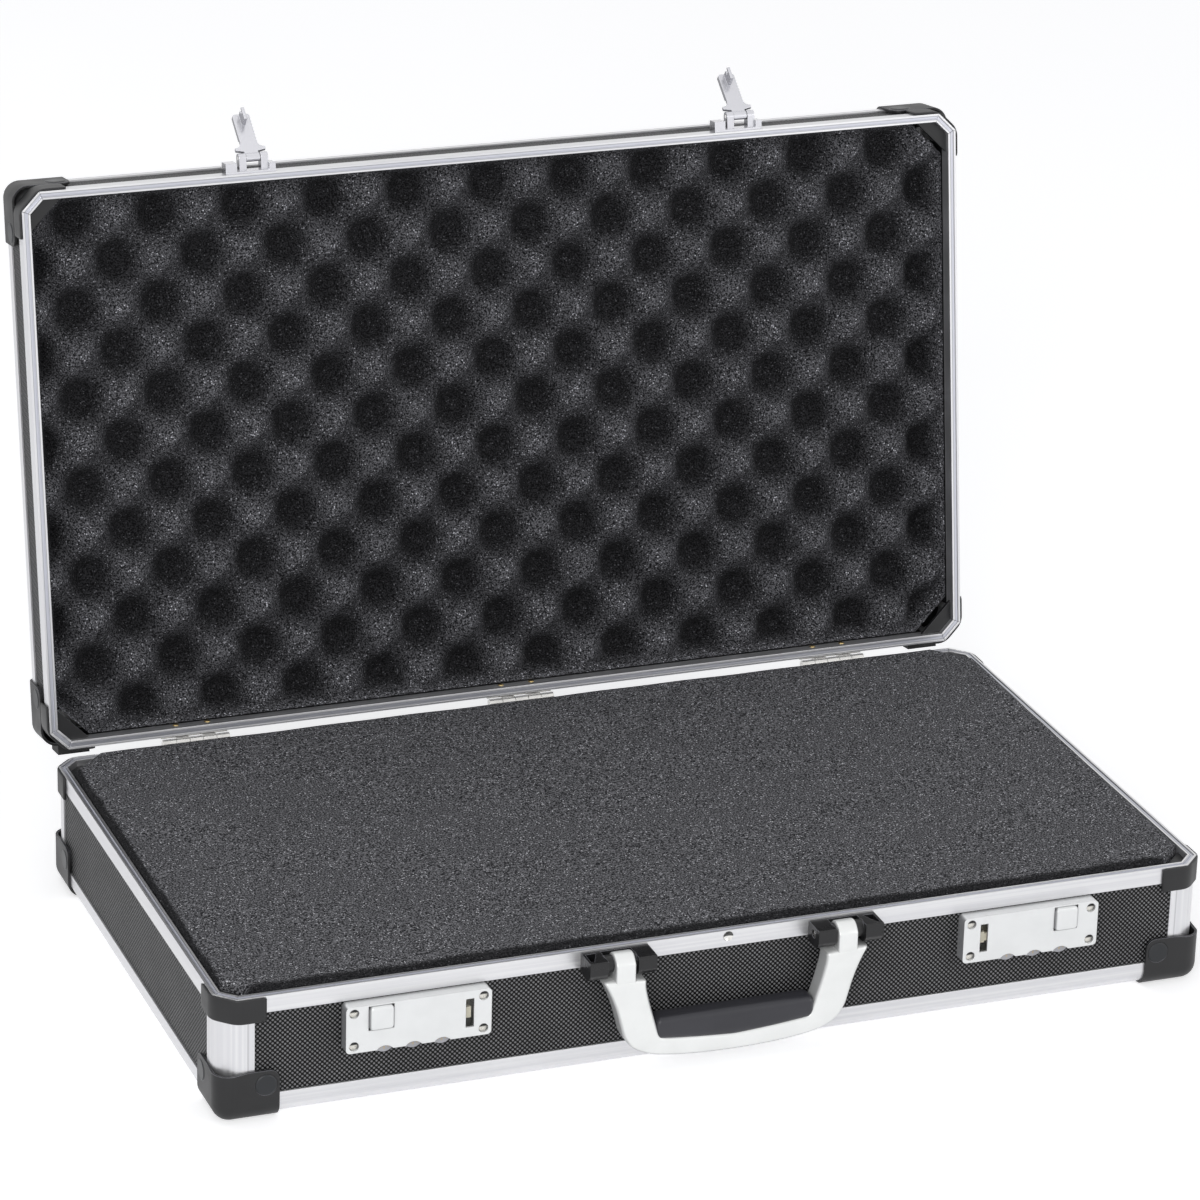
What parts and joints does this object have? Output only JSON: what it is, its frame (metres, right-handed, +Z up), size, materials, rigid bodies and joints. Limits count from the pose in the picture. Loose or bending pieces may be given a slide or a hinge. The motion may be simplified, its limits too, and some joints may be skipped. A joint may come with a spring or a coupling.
{
  "type": "laptop hard case",
  "caption": "Hard laptop case with an aluminium frame, corner protectors, a foam-lined base and hinged lid, latch locks with number dials and a swinging carrying handle.",
  "frame": {"origin": "middle of the bounding box's underside at rest, on the surface that the base's corner protectors stand on", "axes": "X across the width with the lock and handle side at -Y, +Y towards the hinges and the opened lid, +Z up"},
  "size_m": [0.6038, 0.458, 0.4478],
  "materials": {
    "aluminium_frame": "satin",
    "case_panel": "matte",
    "protector": "satin",
    "black_plastic": "satin",
    "black_rubber": "matte",
    "foam": "matte",
    "cast_silver": "satin",
    "lock_silver": "satin",
    "steel": "satin",
    "brass": "satin",
    "catch_cream": "satin",
    "dial_grey": "satin"
  },
  "bodies": {
    "case_base": {"base_bottom_panel": "case_panel", "base_front_panel": "case_panel", "base_rear_panel": "case_panel", "base_side_panels": "case_panel", "base_rim": "aluminium_frame", "base_edge_rails": "aluminium_frame", "base_corner_posts": "aluminium_frame", "base_corner_caps": "protector", "base_corner_rivets": "protector", "base_rim_clips": "protector", "base_corner_gussets": "black_plastic", "base_foam": "foam", "base_rear_feet": "black_rubber", "front_stud": "steel", "handle_bracket_left": "black_plastic", "handle_bracket_right": "black_plastic", "handle_bracket_screws": "steel", "handle_pins": "steel", "lock_left_housing": "lock_silver", "lock_left_backplate": "steel", "lock_right_housing": "lock_silver", "lock_right_backplate": "steel", "lock_screws": "steel", "dial_axles": "steel", "button_springs": "steel", "hinge_base_leaves": "steel", "hinge_pins": "steel", "hinge_base_rivets": "brass"},
    "lid": {"hinge_lid_leaves": "steel", "hinge_lid_rivets": "brass", "lid_top_panel": "case_panel", "lid_wall_panels": "case_panel", "lid_rim": "aluminium_frame", "lid_edge_rails": "aluminium_frame", "lid_corner_posts": "aluminium_frame", "lid_corner_caps": "protector", "lid_corner_rivets": "protector", "lid_rim_clips": "protector", "lid_corner_gussets": "black_plastic", "lid_foam": "foam", "lid_rear_feet": "black_rubber", "hasp_left_bracket": "cast_silver", "hasp_right_bracket": "cast_silver", "hasp_pins": "steel", "hasp_rivets": "steel"},
    "handle": {"handle_frame": "cast_silver", "handle_grip": "black_rubber"},
    "hasp_left": {"hasp_left": "cast_silver"},
    "hasp_right": {"hasp_right": "cast_silver"},
    "button_left": {"lock_left_button": "lock_silver"},
    "catch_left": {"lock_left_catch": "catch_cream"},
    "dial_left_1": {"lock_left_dial_1": "dial_grey"},
    "dial_left_2": {"lock_left_dial_2": "dial_grey"},
    "dial_left_3": {"lock_left_dial_3": "dial_grey"},
    "button_right": {"lock_right_button": "lock_silver"},
    "catch_right": {"lock_right_catch": "catch_cream"},
    "dial_right_1": {"lock_right_dial_1": "dial_grey"},
    "dial_right_2": {"lock_right_dial_2": "dial_grey"},
    "dial_right_3": {"lock_right_dial_3": "dial_grey"}
  },
  "joints": [
    {"name": "lid_hinge", "type": "hinge", "parent": "case_base", "child": "lid", "pos_m": [0, 0.13139, 0.075], "axis": [1, 0, 0], "range_deg": [0, 98.6]},
    {"name": "hasp_left_swing", "type": "hinge", "parent": "lid", "child": "hasp_left", "pos_m": [-0.1565, 0.19093, 0.4226], "axis": [1, 0, 0], "range_deg": [0, 135]},
    {"name": "hasp_right_swing", "type": "hinge", "parent": "lid", "child": "hasp_right", "pos_m": [0.1565, 0.19093, 0.4226], "axis": [1, 0, 0], "range_deg": [0, 135]},
    {"name": "handle_swing", "type": "hinge", "parent": "case_base", "child": "handle", "pos_m": [0, -0.22081, 0.0703], "axis": [-1, 0, 0], "range_deg": [0, 95]},
    {"name": "button_left_push", "type": "slide", "parent": "case_base", "child": "button_left", "axis": [0, 1, 0], "range_m": [0, 0.0025], "stiffness_N_per_m": 300},
    {"name": "catch_left_slide", "type": "slide", "parent": "case_base", "child": "catch_left", "axis": [-1, 0, 0], "range_m": [0, 0.004]},
    {"name": "dial_left_1_turn", "type": "hinge", "parent": "case_base", "child": "dial_left_1", "pos_m": [-0.1724, -0.21251, 0.0405], "axis": [0, -1, 0], "continuous": true},
    {"name": "dial_left_2_turn", "type": "hinge", "parent": "case_base", "child": "dial_left_2", "pos_m": [-0.1892, -0.21251, 0.0405], "axis": [0, -1, 0], "continuous": true},
    {"name": "dial_left_3_turn", "type": "hinge", "parent": "case_base", "child": "dial_left_3", "pos_m": [-0.206, -0.21251, 0.0405], "axis": [0, -1, 0], "continuous": true},
    {"name": "button_right_push", "type": "slide", "parent": "case_base", "child": "button_right", "axis": [0, 1, 0], "range_m": [0, 0.0025], "stiffness_N_per_m": 300},
    {"name": "catch_right_slide", "type": "slide", "parent": "case_base", "child": "catch_right", "axis": [1, 0, 0], "range_m": [0, 0.004]},
    {"name": "dial_right_1_turn", "type": "hinge", "parent": "case_base", "child": "dial_right_1", "pos_m": [0.1724, -0.21251, 0.0405], "axis": [0, -1, 0], "continuous": true},
    {"name": "dial_right_2_turn", "type": "hinge", "parent": "case_base", "child": "dial_right_2", "pos_m": [0.1892, -0.21251, 0.0405], "axis": [0, -1, 0], "continuous": true},
    {"name": "dial_right_3_turn", "type": "hinge", "parent": "case_base", "child": "dial_right_3", "pos_m": [0.206, -0.21251, 0.0405], "axis": [0, -1, 0], "continuous": true}
  ],
  "couplings": [
    {"joint": "catch_left_slide", "follows": "button_left_push", "ratio": 1.6},
    {"joint": "catch_right_slide", "follows": "button_right_push", "ratio": 1.6}
  ]
}
